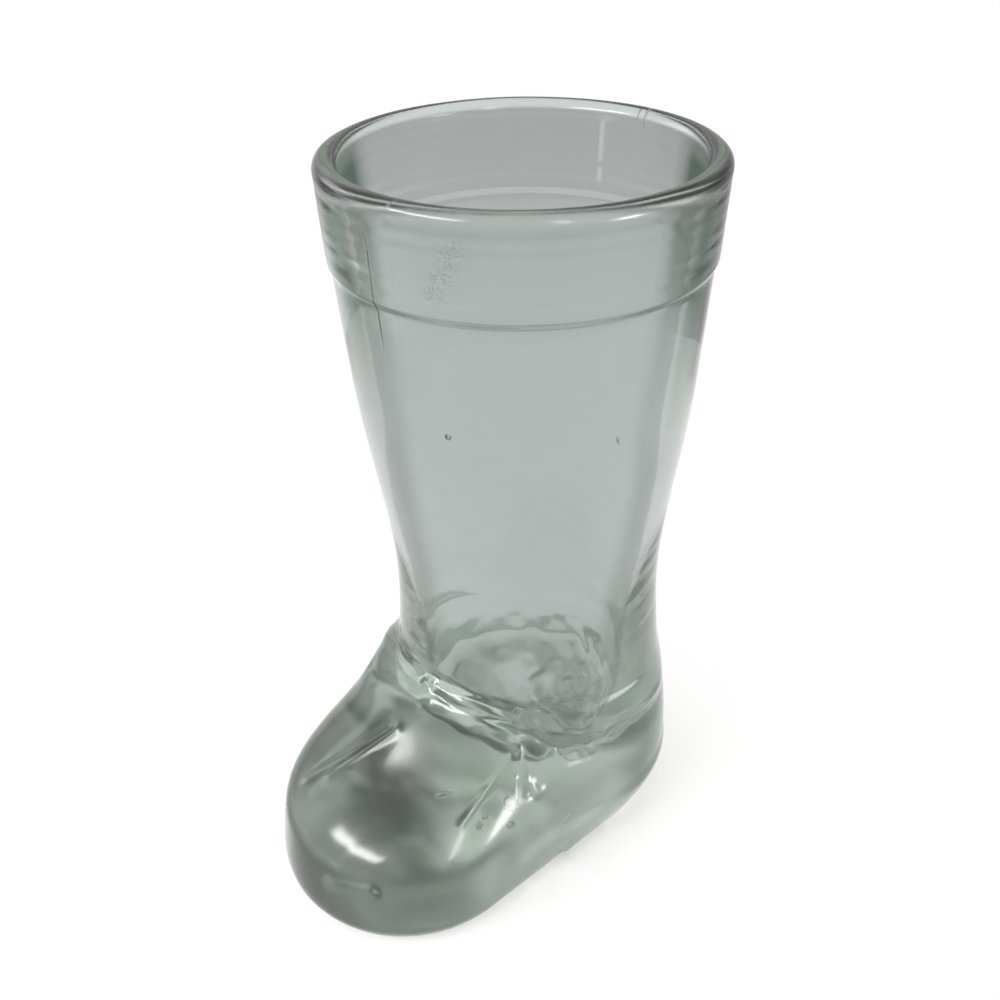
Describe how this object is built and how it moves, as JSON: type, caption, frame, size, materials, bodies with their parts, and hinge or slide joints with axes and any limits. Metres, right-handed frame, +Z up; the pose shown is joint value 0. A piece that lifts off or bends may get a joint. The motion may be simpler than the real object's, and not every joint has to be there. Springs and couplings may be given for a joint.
{
  "type": "boot shot glass",
  "caption": "Clear pressed shot glass in the shape of a boot: a flat-soled solid foot, a tapered hollow leg and a thick cuff under a rounded rim.",
  "frame": {"origin": "on the sole's plane, under the middle of the whole length from the toe to the back of the rim", "axes": "+Z up through the mouth, -Y out over the toe, X across the foot"},
  "size_m": [0.0436, 0.0601, 0.0869],
  "materials": {
    "glass": "clear pressed soda-lime glass, fire polished"
  },
  "bodies": {
    "root": {"boot_glass": "glass"}
  },
  "joints": []
}
